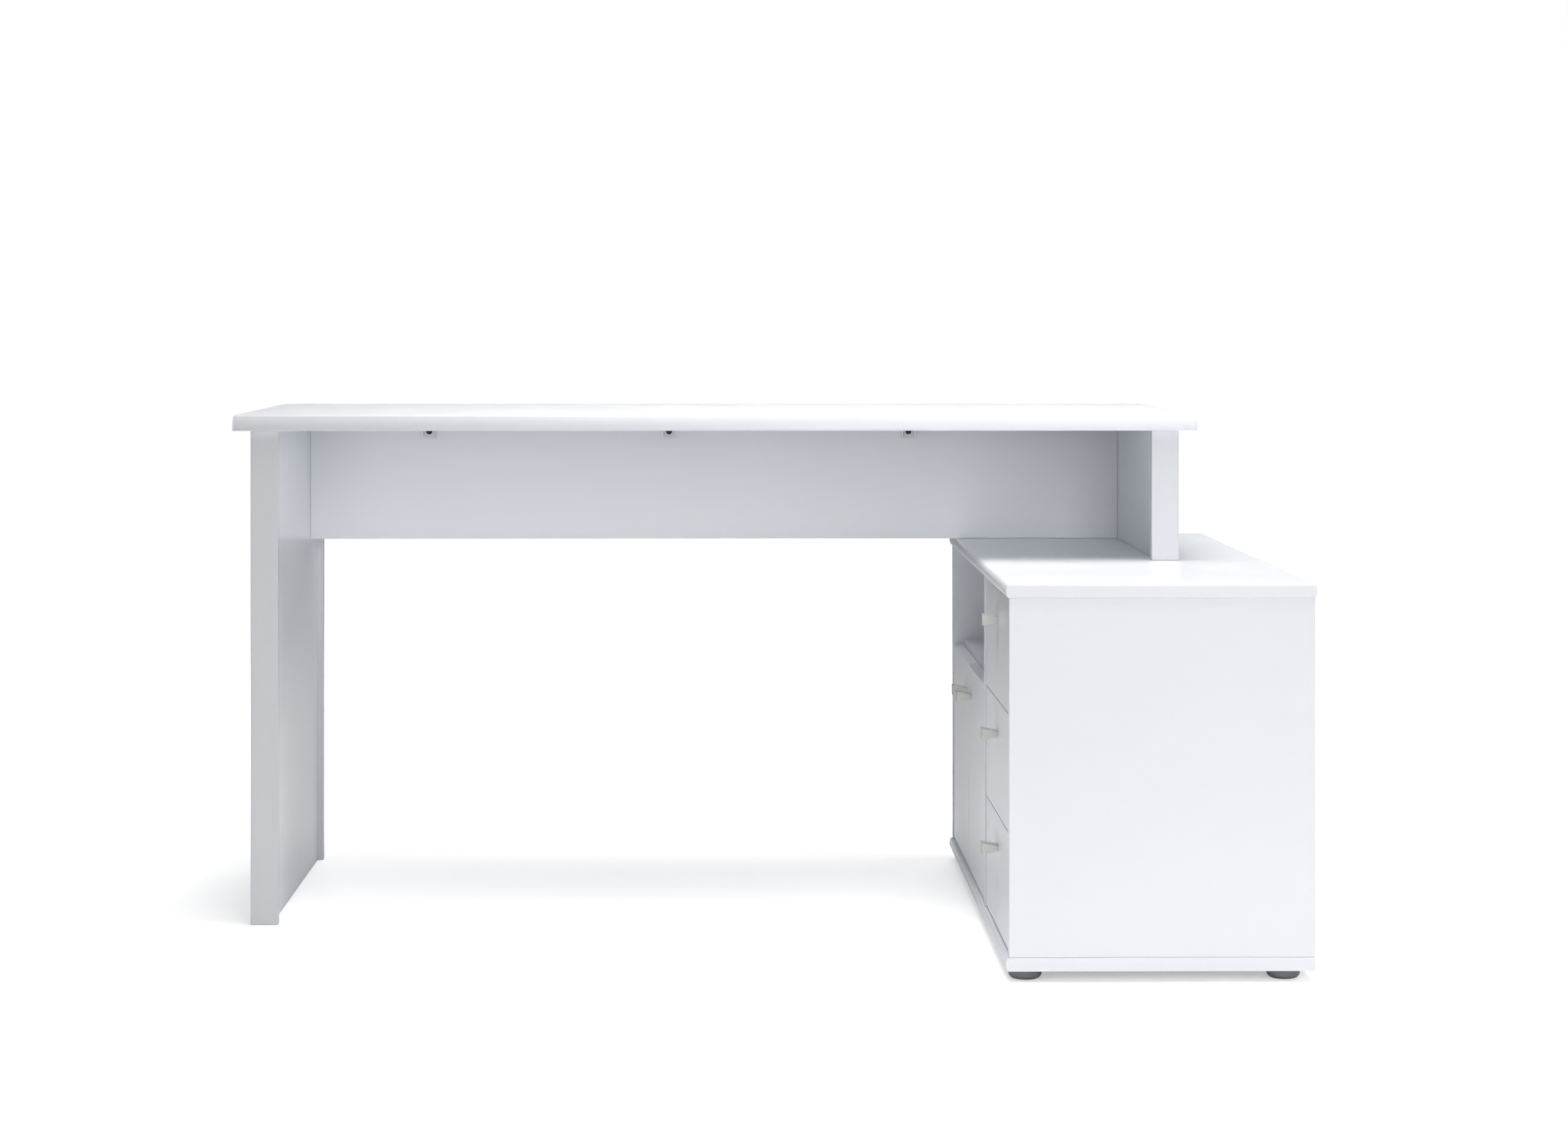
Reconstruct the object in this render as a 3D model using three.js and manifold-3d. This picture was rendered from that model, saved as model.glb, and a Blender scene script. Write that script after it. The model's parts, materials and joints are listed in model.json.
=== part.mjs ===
// Corner desk: a laminated desktop carried by a panel leg on the left and, on the right,
// by a short support standing on a low cabinet that runs from front to back.
// The cabinet has a bay of three drawers and a bay with an open niche above two doors.
// Millimetres, +Z up, +Y towards the wall, origin on the floor below the middle of the footprint.
import * as THREE from 'three';
import { mergeVertices } from 'three/addons/utils/BufferGeometryUtils.js';
import Module from 'manifold-3d';

const wasm = await Module();
wasm.setup();

// ---------------------------------------------------------------- driving dimensions
const GAP = 0.3;               // left between pieces that touch
const HEIGHT = 750;

const DESK_WIDTH = 1418;       // desktop, from x = 0 at its left end
const DESK_DEPTH = 600;
const DESK_THICK = 23;
const DESK_BACK = 1010;        // y of the wall side
const FRONT_SAG = 3;           // how far the front edge bulges over its thickness
const END_SAG = 1;             // same for the left and right ends

const STRIP_WIDTH = 40;        // upright strips that close the support panels
const STRIP_THICK = 18;
const STRIP_SETBACK = 12;      // front strip behind the desktop's front edge
const REAR_SETBACK = 1;        // rear strip before the desktop's back edge
const SUPPORT_THICK = 22;
const LEFT_SUPPORT_X = 45.5;   // middle of the left support
const RIGHT_SUPPORT_X = 1372.5;

const BACK_PANEL_THICK = 16;
const BACK_PANEL_FRONT = 893;  // y of its front face
const BRACKET_X = [248.5, 635.5, 1022.5];
const BRACKET = { width: 23.5, leg: 29, wall: 3, rib: 2.5, hole: 3.5, holeDrop: 18 };

const CABINET_TOP = 535;
const BOARD = 18;              // cabinet top and bottom boards
const PANEL = 16;              // cabinet uprights, shelf, doors and drawer fronts
const FOOT_HEIGHT = 15;
const FOOT_RADIUS = 22.7;
const CABINET_FRONT = 1102.5;  // x of the uprights' front edges
const CABINET_REAR = 1515;
const CABINET_LENGTH = 1007.5; // over the two end panels, from y = 0
const BOARD_OVERHANG = 2.3;    // boards beyond the end panels
const NOSE_FRONT = 1098;       // foremost x of the top and bottom boards
const NOSE_SAG = 2.8;
const TOP_REAR = 1518;
const DIVIDER_Y = 378;         // near face of the divider
const HDF = 3;                 // thin cabinet back and drawer bottoms

const FRONT_RECESS = 1.8;      // fronts behind the uprights' front edges
const FRONT_GAP = 2.2;         // round each inset front
const DRAWER_PITCH = 160.3;
const SHELF_TOP = 361.5;
const SHELF_FRONT = 1121;
const DOOR_TOP = 353.5;        // doors cover half of the shelf's edge

const BOX_WALL = 12;
const BOX_DEPTH = 350;
const BOX_HEIGHT = 108;
const BOX_LIFT = 17;           // box above the lower edge of its front
const BOTTOM_LIFT = 8;         // drawer bottom above the lower edge of the box
const RUNNER_SPACE = 12.5;     // each side, between upright and drawer box
const RAIL = { wall: 1.2, flange: 8, height: 24, length: 350, start: 1123 };

const HANDLE = { reach: 22.3, length: 28, tip: 16, base: 7 };
const HANDLE_DROP = 45.8;      // from a drawer front's top edge to the handle's middle
const DOOR_HANDLE_Z = 309;
const DOOR_HANDLE_SIDE = 41.5; // from the middle of the door pair

const CUP = { radius: 17.5, depth: 11, plate: 1.5, edge: 22.5, plateHeight: 52, plateWidth: 28 };
const CUP_Z = [97, 293];
const ARM = { base: 5.5, baseStart: 1150, baseEnd: 1196, width: 12, front: 1124, height: 10, baseHeight: 32 };

// ---------------------------------------------------------------- colours
const LAMINATE = { color: 0xe8ebef, roughness: 0.35 };
const HARDBOARD = { color: 0xd9dbdc, roughness: 0.6 };
const PLASTIC_WHITE = { color: 0xe4e6e8, roughness: 0.5 };
const FOOT_GREY = { color: 0x3c3f42, roughness: 0.6 };
const HANDLE_METAL = { color: 0xa8aaa3, roughness: 0.35, metalness: 0.6 };
const ZINC = { color: 0xb9bdc2, roughness: 0.3, metalness: 0.9 };
const RAIL_WHITE = { color: 0xdcdedf, roughness: 0.4, metalness: 0.2 };

// ---------------------------------------------------------------- geometry helpers
const group = new THREE.Group();
const origin = new THREE.Vector3(TOP_REAR / 2, (DESK_BACK - BOARD_OVERHANG) / 2, 0);

function add(name, geometry, finish) {
  geometry.translate(-origin.x, -origin.y, -origin.z);
  geometry.computeVertexNormals();
  const mesh = new THREE.Mesh(geometry, new THREE.MeshStandardMaterial(finish));
  mesh.name = name;
  group.add(mesh);
}

function box(x0, x1, y0, y1, z0, z1) {
  const geometry = new THREE.BoxGeometry(x1 - x0, y1 - y0, z1 - z0);
  return geometry.translate((x0 + x1) / 2, (y0 + y1) / 2, (z0 + z1) / 2);
}

// Extrudes an outline given in the plane of the second and third axes along the first.
function prism(outline, from, to, along) {
  const shape = new THREE.Shape(outline.map(([u, v]) => new THREE.Vector2(u, v)));
  const geometry = new THREE.ExtrudeGeometry(shape, { depth: to - from, bevelEnabled: false });
  const [x, y, z] = [[1, 0, 0], [0, 1, 0], [0, 0, 1]].map((v) => new THREE.Vector3(...v));
  const basis = new THREE.Matrix4();
  if (along === 'x') basis.makeBasis(y, z, x);
  else basis.makeBasis(x, z, y.negate());
  const shift = along === 'x' ? [from, 0, 0] : [0, to, 0];
  return geometry.applyMatrix4(basis).translate(...shift);
}

// Rectangle whose low and high ends bulge outwards as shallow arcs.
function noseOutline(u0, u1, v0, v1, sagLow, sagHigh) {
  const steps = 8;
  const end = (u, sag, sign) => {
    if (sag === 0) return [[u, sign > 0 ? v0 : v1], [u, sign > 0 ? v1 : v0]];
    return Array.from({ length: steps + 1 }, (_, i) => {
      const t = (2 * i) / steps - 1;
      return [u - sign * sag * t * t, (v0 + v1) / 2 + (sign * t * (v1 - v0)) / 2];
    });
  };
  return [...end(u1, sagHigh, 1), ...end(u0, sagLow, -1)];
}

function toManifold(geometry) {
  const bare = geometry.clone();
  bare.deleteAttribute('normal');
  bare.deleteAttribute('uv');
  const merged = mergeVertices(bare, 1e-4);
  return new wasm.Manifold(new wasm.Mesh({
    numProp: 3,
    vertProperties: new Float32Array(merged.attributes.position.array),
    triVerts: new Uint32Array(merged.index.array),
  }));
}

function fromManifold(solid) {
  const mesh = solid.getMesh();
  const geometry = new THREE.BufferGeometry();
  geometry.setAttribute('position', new THREE.BufferAttribute(mesh.vertProperties, 3));
  geometry.setIndex(new THREE.BufferAttribute(mesh.triVerts, 1));
  return geometry;
}

const join = (...parts) => fromManifold(wasm.Manifold.union(parts.map(toManifold)));
const cut = (base, ...tools) => fromManifold(wasm.Manifold.difference([base, ...tools].map(toManifold)));
const common = (...parts) => fromManifold(wasm.Manifold.intersection(parts.map(toManifold)));

// Cylinder centred on two coordinates, running along one axis between two positions.
function rod(along, radius, from, to, [u, v], sides = 32) {
  const middle = (from + to) / 2;
  const geometry = new THREE.CylinderGeometry(radius, radius, to - from, sides);
  if (along === 'x') return geometry.rotateZ(Math.PI / 2).translate(middle, u, v);
  if (along === 'y') return geometry.translate(u, middle, v);
  return geometry.rotateX(Math.PI / 2).translate(u, v, middle);
}

// ---------------------------------------------------------------- desktop and its supports
const deskFront = DESK_BACK - DESK_DEPTH;
const underTop = HEIGHT - DESK_THICK;
add('desktop', common(
  prism(noseOutline(deskFront, DESK_BACK, underTop, HEIGHT, FRONT_SAG, 0), 0, DESK_WIDTH, 'x'),
  prism(noseOutline(0, DESK_WIDTH, underTop, HEIGHT, END_SAG, END_SAG), deskFront, DESK_BACK, 'y'),
), LAMINATE);

const stripFront = deskFront + STRIP_SETBACK;
const rearStripFront = DESK_BACK - REAR_SETBACK - STRIP_THICK;
const half = (width) => width / 2;

function support(side, x, z0) {
  const strip = [x - half(STRIP_WIDTH), x + half(STRIP_WIDTH)];
  const z1 = underTop - GAP;
  add(`${side}_front_strip`, box(...strip, stripFront, stripFront + STRIP_THICK, z0, z1), LAMINATE);
  add(`${side}_rear_strip`, box(...strip, rearStripFront, rearStripFront + STRIP_THICK, z0, z1), LAMINATE);
  add(`${side}_side_panel`, box(x - half(SUPPORT_THICK), x + half(SUPPORT_THICK),
    stripFront + STRIP_THICK + GAP, rearStripFront - GAP, z0, z1), LAMINATE);
}
support('left', LEFT_SUPPORT_X, 0);
support('right', RIGHT_SUPPORT_X, CABINET_TOP + GAP);

add('back_panel', box(LEFT_SUPPORT_X + half(SUPPORT_THICK) + GAP, RIGHT_SUPPORT_X - half(SUPPORT_THICK) - GAP,
  BACK_PANEL_FRONT, BACK_PANEL_FRONT + BACK_PANEL_THICK, CABINET_TOP + GAP, underTop - GAP), LAMINATE);

// Moulded corner bracket: a plate on the back panel, a plate under the desktop, two ribs.
BRACKET_X.forEach((x, i) => {
  const { width, leg, wall, rib, hole, holeDrop } = BRACKET;
  const [x0, x1] = [x - half(width), x + half(width)];
  const y1 = BACK_PANEL_FRONT - GAP;
  const z1 = underTop - GAP;
  const ribOutline = [[y1, z1], [y1 - leg, z1], [y1 - leg, z1 - wall], [y1 - wall, z1 - leg], [y1, z1 - leg]];
  const body = join(
    box(x0, x1, y1 - wall, y1, z1 - leg, z1),
    box(x0, x1, y1 - leg, y1, z1 - wall, z1),
    prism(ribOutline, x0, x0 + rib, 'x'),
    prism(ribOutline, x1 - rib, x1, 'x'),
  );
  const panelHole = rod('y', hole, y1 - 2 * wall, y1 + wall, [x, z1 - holeDrop]);
  const topHole = rod('z', hole, z1 - 2 * wall, z1 + wall, [x, y1 - holeDrop]);
  add(`corner_bracket_${i + 1}`, cut(body, panelHole, topHole), PLASTIC_WHITE);
});

// ---------------------------------------------------------------- cabinet carcass
const boardEnds = [-BOARD_OVERHANG, CABINET_LENGTH + BOARD_OVERHANG];
const panelZ = [FOOT_HEIGHT + BOARD + GAP, CABINET_TOP - BOARD - GAP];
const uprightX = [CABINET_FRONT, CABINET_REAR];
const innerX = [CABINET_FRONT, CABINET_REAR - HDF - GAP];
const farEndY = CABINET_LENGTH - PANEL;
const dividerFar = DIVIDER_Y + PANEL;

add('cabinet_top', prism(noseOutline(NOSE_FRONT, TOP_REAR, CABINET_TOP - BOARD, CABINET_TOP, NOSE_SAG, NOSE_SAG),
  ...boardEnds, 'y'), LAMINATE);
add('cabinet_bottom', prism(noseOutline(NOSE_FRONT, CABINET_REAR, FOOT_HEIGHT, FOOT_HEIGHT + BOARD, NOSE_SAG, 0),
  ...boardEnds, 'y'), LAMINATE);
add('cabinet_near_end', box(...uprightX, 0, PANEL, ...panelZ), LAMINATE);
add('cabinet_far_end', box(...uprightX, farEndY, CABINET_LENGTH, ...panelZ), LAMINATE);
add('cabinet_divider', box(...innerX, DIVIDER_Y, dividerFar, ...panelZ), LAMINATE);
add('niche_shelf', box(SHELF_FRONT, innerX[1], dividerFar + GAP, farEndY - GAP, SHELF_TOP - PANEL, SHELF_TOP), LAMINATE);
add('cabinet_back', box(CABINET_REAR - HDF, CABINET_REAR, PANEL + GAP, farEndY - GAP, ...panelZ), HARDBOARD);

// Turned glide feet: straight side, rounded lower edge.
const footOutline = [[0, 0], [14.5, 0], [18.5, 1.2], [21.3, 3.6], [FOOT_RADIUS, 7.5], [FOOT_RADIUS, FOOT_HEIGHT - GAP],
  [0, FOOT_HEIGHT - GAP]];
const footX = [CABINET_FRONT + 24.5, CABINET_REAR - 37.5];
const footY = [34.7, (DIVIDER_Y + dividerFar) / 2, CABINET_LENGTH - 34.7];
['near', 'middle', 'far'].forEach((row, i) => {
  ['front', 'rear'].forEach((column, j) => {
    const foot = fromManifold(wasm.Manifold.revolve([footOutline], 48));
    add(`foot_${row}_${column}`, foot.translate(footX[j], footY[i], 0), FOOT_GREY);
  });
});

// ---------------------------------------------------------------- drawers
const frontX = CABINET_FRONT + FRONT_RECESS;
const frontBack = frontX + PANEL;
const drawerOpening = [PANEL, DIVIDER_Y];
const handleMiddle = (drawerOpening[0] + drawerOpening[1]) / 2;

// Solid handle that widens away from the front it is screwed to.
function addHandle(name, y, z) {
  const { reach, length, tip, base } = HANDLE;
  const x1 = frontX - GAP;
  const outline = [[x1, z - half(base)], [x1, z + half(base)], [x1 - reach, z + half(tip)], [x1 - reach, z - half(tip)]];
  add(name, prism(outline, y - half(length), y + half(length), 'y'), HANDLE_METAL);
}

// Steel rail on an upright: wall leg and a bottom flange that carries the drawer's roller.
function addRail(name, wallY, side, z) {
  const { wall, flange, height, length, start } = RAIL;
  const y = wallY + side * GAP;
  const outline = [[y, z], [y + side * flange, z], [y + side * flange, z + wall], [y + side * wall, z + wall],
    [y + side * wall, z + height], [y, z + height]];
  if (side < 0) outline.reverse();
  add(name, prism(outline, start, start + length, 'x'), RAIL_WHITE);
}

['top', 'middle', 'bottom'].forEach((level, i) => {
  const name = (piece) => `drawer_${level}_${piece}`;
  const z1 = CABINET_TOP - BOARD - i * DRAWER_PITCH - half(FRONT_GAP);
  const z0 = z1 - DRAWER_PITCH + FRONT_GAP;
  const boxZ = [z0 + BOX_LIFT, z0 + BOX_LIFT + BOX_HEIGHT];
  const boxX = [frontBack + GAP, frontBack + GAP + BOX_DEPTH];
  const boxY = [drawerOpening[0] + RUNNER_SPACE, drawerOpening[1] - RUNNER_SPACE];
  const insideY = [boxY[0] + BOX_WALL + GAP, boxY[1] - BOX_WALL - GAP];

  add(name('front'), box(frontX, frontBack, drawerOpening[0] + FRONT_GAP, drawerOpening[1] - FRONT_GAP, z0, z1), LAMINATE);
  addHandle(name('handle'), handleMiddle, z1 - HANDLE_DROP);
  add(name('side_near'), box(...boxX, boxY[0], boxY[0] + BOX_WALL, ...boxZ), LAMINATE);
  add(name('side_far'), box(...boxX, boxY[1] - BOX_WALL, boxY[1], ...boxZ), LAMINATE);
  add(name('back'), box(boxX[1] - BOX_WALL, boxX[1], ...insideY, ...boxZ), LAMINATE);
  add(name('bottom'), box(boxX[0], boxX[1] - BOX_WALL - GAP, ...insideY, boxZ[0] + BOTTOM_LIFT, boxZ[0] + BOTTOM_LIFT + HDF),
    HARDBOARD);
  addRail(`rail_${level}_near`, drawerOpening[0], 1, boxZ[0]);
  addRail(`rail_${level}_far`, drawerOpening[1], -1, boxZ[0]);
});

// ---------------------------------------------------------------- doors and hinges
const doorOpening = [dividerFar, farEndY];
const doorMiddle = (doorOpening[0] + doorOpening[1]) / 2;
const doorZ = [CABINET_TOP - BOARD - 3 * DRAWER_PITCH + half(FRONT_GAP), DOOR_TOP];

// side is +1 for the door hung on the divider, -1 for the one hung on the far end.
function addDoor(name, hingeWall, side) {
  const hinged = hingeWall + side * FRONT_GAP;
  const free = doorMiddle - side * half(FRONT_GAP);
  const [y0, y1] = [Math.min(hinged, free), Math.max(hinged, free)];
  const cupY = hinged + side * CUP.edge;
  const cupX = [frontBack - CUP.depth, frontBack + GAP + CUP.plate];
  const holes = CUP_Z.map((z) => rod('x', CUP.radius + GAP, cupX[0] - GAP, frontBack + GAP, [cupY, z]));

  add(`${name}_panel`, cut(box(frontX, frontBack, y0, y1, ...doorZ), ...holes), LAMINATE);
  addHandle(`${name}_handle`, doorMiddle - side * DOOR_HANDLE_SIDE, DOOR_HANDLE_Z);

  CUP_Z.forEach((z, i) => {
    const tag = `${name}_hinge_${['low', 'high'][i]}`;
    const plateX = [frontBack + GAP, cupX[1]];
    add(`${tag}_cup`, join(
      rod('x', CUP.radius, cupX[0], cupX[1], [cupY, z]),
      box(...plateX, cupY - half(CUP.plateWidth), cupY + half(CUP.plateWidth), z - half(CUP.plateHeight),
        z + half(CUP.plateHeight)),
    ), ZINC);
    const wall = hingeWall + side * GAP;
    const span = (from, to) => [wall + side * from, wall + side * to].sort((a, b) => a - b);
    add(`${tag}_arm`, join(
      box(ARM.baseStart, ARM.baseEnd, ...span(0, ARM.base), z - half(ARM.baseHeight), z + half(ARM.baseHeight)),
      box(ARM.front, ARM.baseEnd, ...span(ARM.base - 1, ARM.base + ARM.width), z - half(ARM.height), z + half(ARM.height)),
    ), ZINC);
  });
}
addDoor('door_near', doorOpening[0], 1);
addDoor('door_far', doorOpening[1], -1);

export default group;
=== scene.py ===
"""White corner desk with its side cabinet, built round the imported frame.

Every board, band, fitting and finish is made here. Places come from the boxes of the CAD
nodes, so a piece moves with the frame if the CAD source changes.
"""

import json
import math

import bmesh
import bpy
from bpy.props import FloatProperty, FloatVectorProperty, IntProperty, PointerProperty
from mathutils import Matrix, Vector


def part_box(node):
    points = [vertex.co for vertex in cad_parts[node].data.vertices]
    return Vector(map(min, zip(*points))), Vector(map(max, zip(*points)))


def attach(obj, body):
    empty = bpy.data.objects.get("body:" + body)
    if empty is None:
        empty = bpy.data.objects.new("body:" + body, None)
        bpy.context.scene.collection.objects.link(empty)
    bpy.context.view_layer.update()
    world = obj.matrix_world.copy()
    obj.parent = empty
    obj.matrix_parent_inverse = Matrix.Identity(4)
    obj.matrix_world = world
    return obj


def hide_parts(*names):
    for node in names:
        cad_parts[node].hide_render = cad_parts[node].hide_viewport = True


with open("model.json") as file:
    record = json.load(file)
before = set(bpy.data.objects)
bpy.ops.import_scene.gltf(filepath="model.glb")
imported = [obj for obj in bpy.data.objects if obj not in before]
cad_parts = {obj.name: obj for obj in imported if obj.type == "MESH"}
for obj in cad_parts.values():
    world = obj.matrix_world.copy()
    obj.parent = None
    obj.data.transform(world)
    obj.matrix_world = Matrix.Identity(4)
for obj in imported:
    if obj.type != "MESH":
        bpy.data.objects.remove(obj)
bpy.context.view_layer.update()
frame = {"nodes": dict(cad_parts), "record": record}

bl_info = {
    "name": "White corner desk",
    "version": (1, 0, 0),
    "blender": (4, 5, 0),
    "location": "3D View > Sidebar > Corner desk",
    "description": "Builds a laminated corner desk with a side cabinet round its CAD frame",
    "category": "Add Mesh",
}

BODIES = frame["record"]["behaviour"]["bodies"]
BODY_OF = {node: body for body, nodes in BODIES.items() for node in nodes}

LEVELS = ("top", "middle", "bottom")
SIDES = ("near", "far")
HEIGHTS = ("low", "high")
ROUND_STEPS = 3        # levels in a rounded long edge
CORNER_STEPS = 2       # chords in a rounded corner of a board
BULGE_STEPS = 10       # levels in a bulging edge
SHARP_ANGLE = math.radians(32)
FLAT_ANGLE = math.radians(0.6)
CAMERA_PLACE = (-0.06593, -4.87712, 0.901675)   # level, a little above the desktop
CAMERA_TURN = -0.01169
CAMERA_SHIFT = (0.02633, -0.16457)
FLOOR_REACH = 30.0     # half the side of the floor
FLOOR_DROP = 0.0002    # keeps the floor clear of the feet
GLOW_START = 0.7       # distance from the middle at which the floor begins to whiten
GLOW_END = 2.4         # distance at which it is fully white
NEAR_ZERO = 1e-9
SHORT_RADIUS = 0.45    # largest rounding, as a share of a board's thickness
HAIR = 0.0001          # how far a head or a plate sits in its surface, so none floats
SUNK = 0.0002          # the same for parts that are let in a little deeper
RAIL_SHEET = 0.0012    # steel of a runner on an upright
RAIL_LIP = 0.0028      # height of its turned-up lip
MATE_SHEET = 0.001     # steel of the runner on a drawer
MATE_TALL = 0.019      # height of that runner
MATE_HOOK = 0.0075     # reach of its hook over the upright's runner
HINGE_PLATE = 0.0015   # flange of a hinge cup
HINGE_SHEET = 0.0009   # pressed steel of the cup
EAR_START = 0.0148     # where a cup's ears begin, from its middle
EAR_HALF = 0.014       # half an ear's width
CUP_SCREW = 0.0205     # a cup's screws, from its middle
HANDLE_SCREW = 0.007   # a handle's screws, from its middle
CAM_INSET = 0.034      # cam fittings of the back panel, from its corners
NAIL_INSET = 0.007     # nails of the cabinet back, from its edges
STRIP_HALF = 0.009     # half the joint strip's width
FOOT_EDGE = 0.008      # rounding of a foot's lower edge
FOOT_LIP = 0.0006      # depth of the groove round a foot


# ------------------------------------------------------------------ sizes and colours


def length(label, about, default, most=0.05):
    return FloatProperty(
        name=label, description=about, default=default, min=0, max=most,
        precision=5, unit="LENGTH", subtype="DISTANCE",
    )


def colour(label, about, default):
    return FloatVectorProperty(
        name=label, description=about, default=default, size=3, min=0, max=1, subtype="COLOR"
    )


def share(label, about, default, most=1.0):
    return FloatProperty(name=label, description=about, default=default, min=0, max=most)


class BoardSettings(bpy.types.PropertyGroup):
    """Finish and edges of the laminated boards."""

    laminate: colour("Laminate", "Melamine faces of the boards", (0.850, 0.868, 0.900))
    band: colour("Edge band", "Bands glued on the boards' edges", (0.855, 0.872, 0.903))
    # Greyer copy of the laminate for the upright strips: painted shade, standing in for the shade
    # that falls on them.
    strip_shade: colour("Foil", "Foil wrapped round the upright strips", (0.740, 0.755, 0.785))
    hardboard: colour("Hardboard", "Cabinet back and drawer bottoms", (0.80, 0.81, 0.82))
    gloss: share("Roughness", "Roughness of the laminate", 0.34)
    band_thickness: length("Band", "Thickness of an ordinary edge band", 0.0009)
    end_band: length("End band", "Thickness of the bands on the desktop's ends", 0.0022)
    seam: length("Seam", "Hairline between a band and its board", 0.00005)
    edge: length("Edge", "Rounding of a banded edge", 0.0005)
    soft_edge: length("Soft edge", "Rounding of the strips' long edges", 0.0011)
    nose_edge: length("Nose edge", "Rounding where a nose meets the faces", 0.0016)
    desk_bulge: length("Desktop bulge", "How far the desktop's front edge falls back", 0.007)
    desk_crown: share("Desktop crown", "Height share where the front edge is furthest out", 0.08)
    end_bulge: length("End bulge", "How far the desktop's ends bulge", 0.001)
    nose_bulge: length("Nose bulge", "How far the cabinet boards' noses bulge", 0.0028)
    grain: length("Grain", "Size of the laminate's pearl texture", 0.0011)
    grain_depth: length("Grain depth", "Depth of the pearl texture", 0.00003)


class HardwareSettings(bpy.types.PropertyGroup):
    """Finish and sizes of handles, hinges, runners and fixings."""

    handle: colour("Handle", "Satin metal of the handles", (0.60, 0.605, 0.57))
    nickel: colour("Hinge", "Nickel plating of the hinges", (0.60, 0.61, 0.63))
    rail: colour("Runner", "Epoxy coating of the runners", (0.78, 0.79, 0.80))
    plastic: colour("White plastic", "Brackets, rollers and caps", (0.80, 0.82, 0.85))
    foot: colour("Foot", "Moulded plastic of the feet", (0.205, 0.21, 0.225))
    dark_screw: colour("Dark screw", "Blackened screws of the brackets", (0.035, 0.035, 0.04))
    handle_edge: length("Handle edge", "Rounding of the handles' edges", 0.0007)
    screw_radius: length("Screw head", "Radius of a runner or hinge screw's head", 0.0034)
    screw_height: length("Screw height", "Height of a screw's head", 0.0014)
    cap_radius: length("Cap", "Radius of a cover cap on a cam fitting", 0.0085)
    nail_radius: length("Nail head", "Radius of a nail's head in the cabinet back", 0.0022)
    nail_pitch: length("Nail pitch", "Distance between nails in the back", 0.095, 0.5)
    roller_radius: length("Roller", "Radius of a runner's roller", 0.0062)
    roller_width: length("Roller width", "Width of a runner's roller", 0.006)
    seed: IntProperty(name="Seed", description="Fixes how the screw heads are turned", default=7)


class StageSettings(bpy.types.PropertyGroup):
    """Floor, camera and lights."""

    floor: colour("Floor", "Colour of the floor", (0.92, 0.925, 0.93))
    floor_glow: share("Floor glow", "How far the floor under the desk is kept white", 0.4)
    lens: FloatProperty(name="Lens", description="Focal length in millimetres", default=74.76)
    overhead: share("Overhead", "Power of the softbox above, in watts", 56.0, 5000)
    top_beam: share("Top beam", "Power of the gridded softbox above the desk", 3.0, 5000)
    cabinet_beam: share("Cabinet beam", "Power of the softbox over the cabinet", 8.0, 5000)
    front: share("Front", "Power of the softbox before the cabinet, in watts", 24.0, 5000)
    front_left: share("Front left", "Power of the small softbox at the left", 7.6, 5000)
    right: share("Right", "Power of the small softbox on the right, in watts", 13.0, 5000)
    right_dome: share("Right dome", "Power of the large softbox high on the right", 37.0, 5000)
    behind: share("Behind", "Power of the softbox high behind the desk, in watts", 50.0, 5000)


class CornerDeskSettings(bpy.types.PropertyGroup):
    """All that can be set for the desk."""

    boards: PointerProperty(type=BoardSettings)
    hardware: PointerProperty(type=HardwareSettings)
    stage: PointerProperty(type=StageSettings)


def settings():
    return bpy.context.scene.corner_desk


# ------------------------------------------------------------------ shells and pieces


def side_name(axis, end):
    return "-+"[end] + "xyz"[axis]


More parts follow.
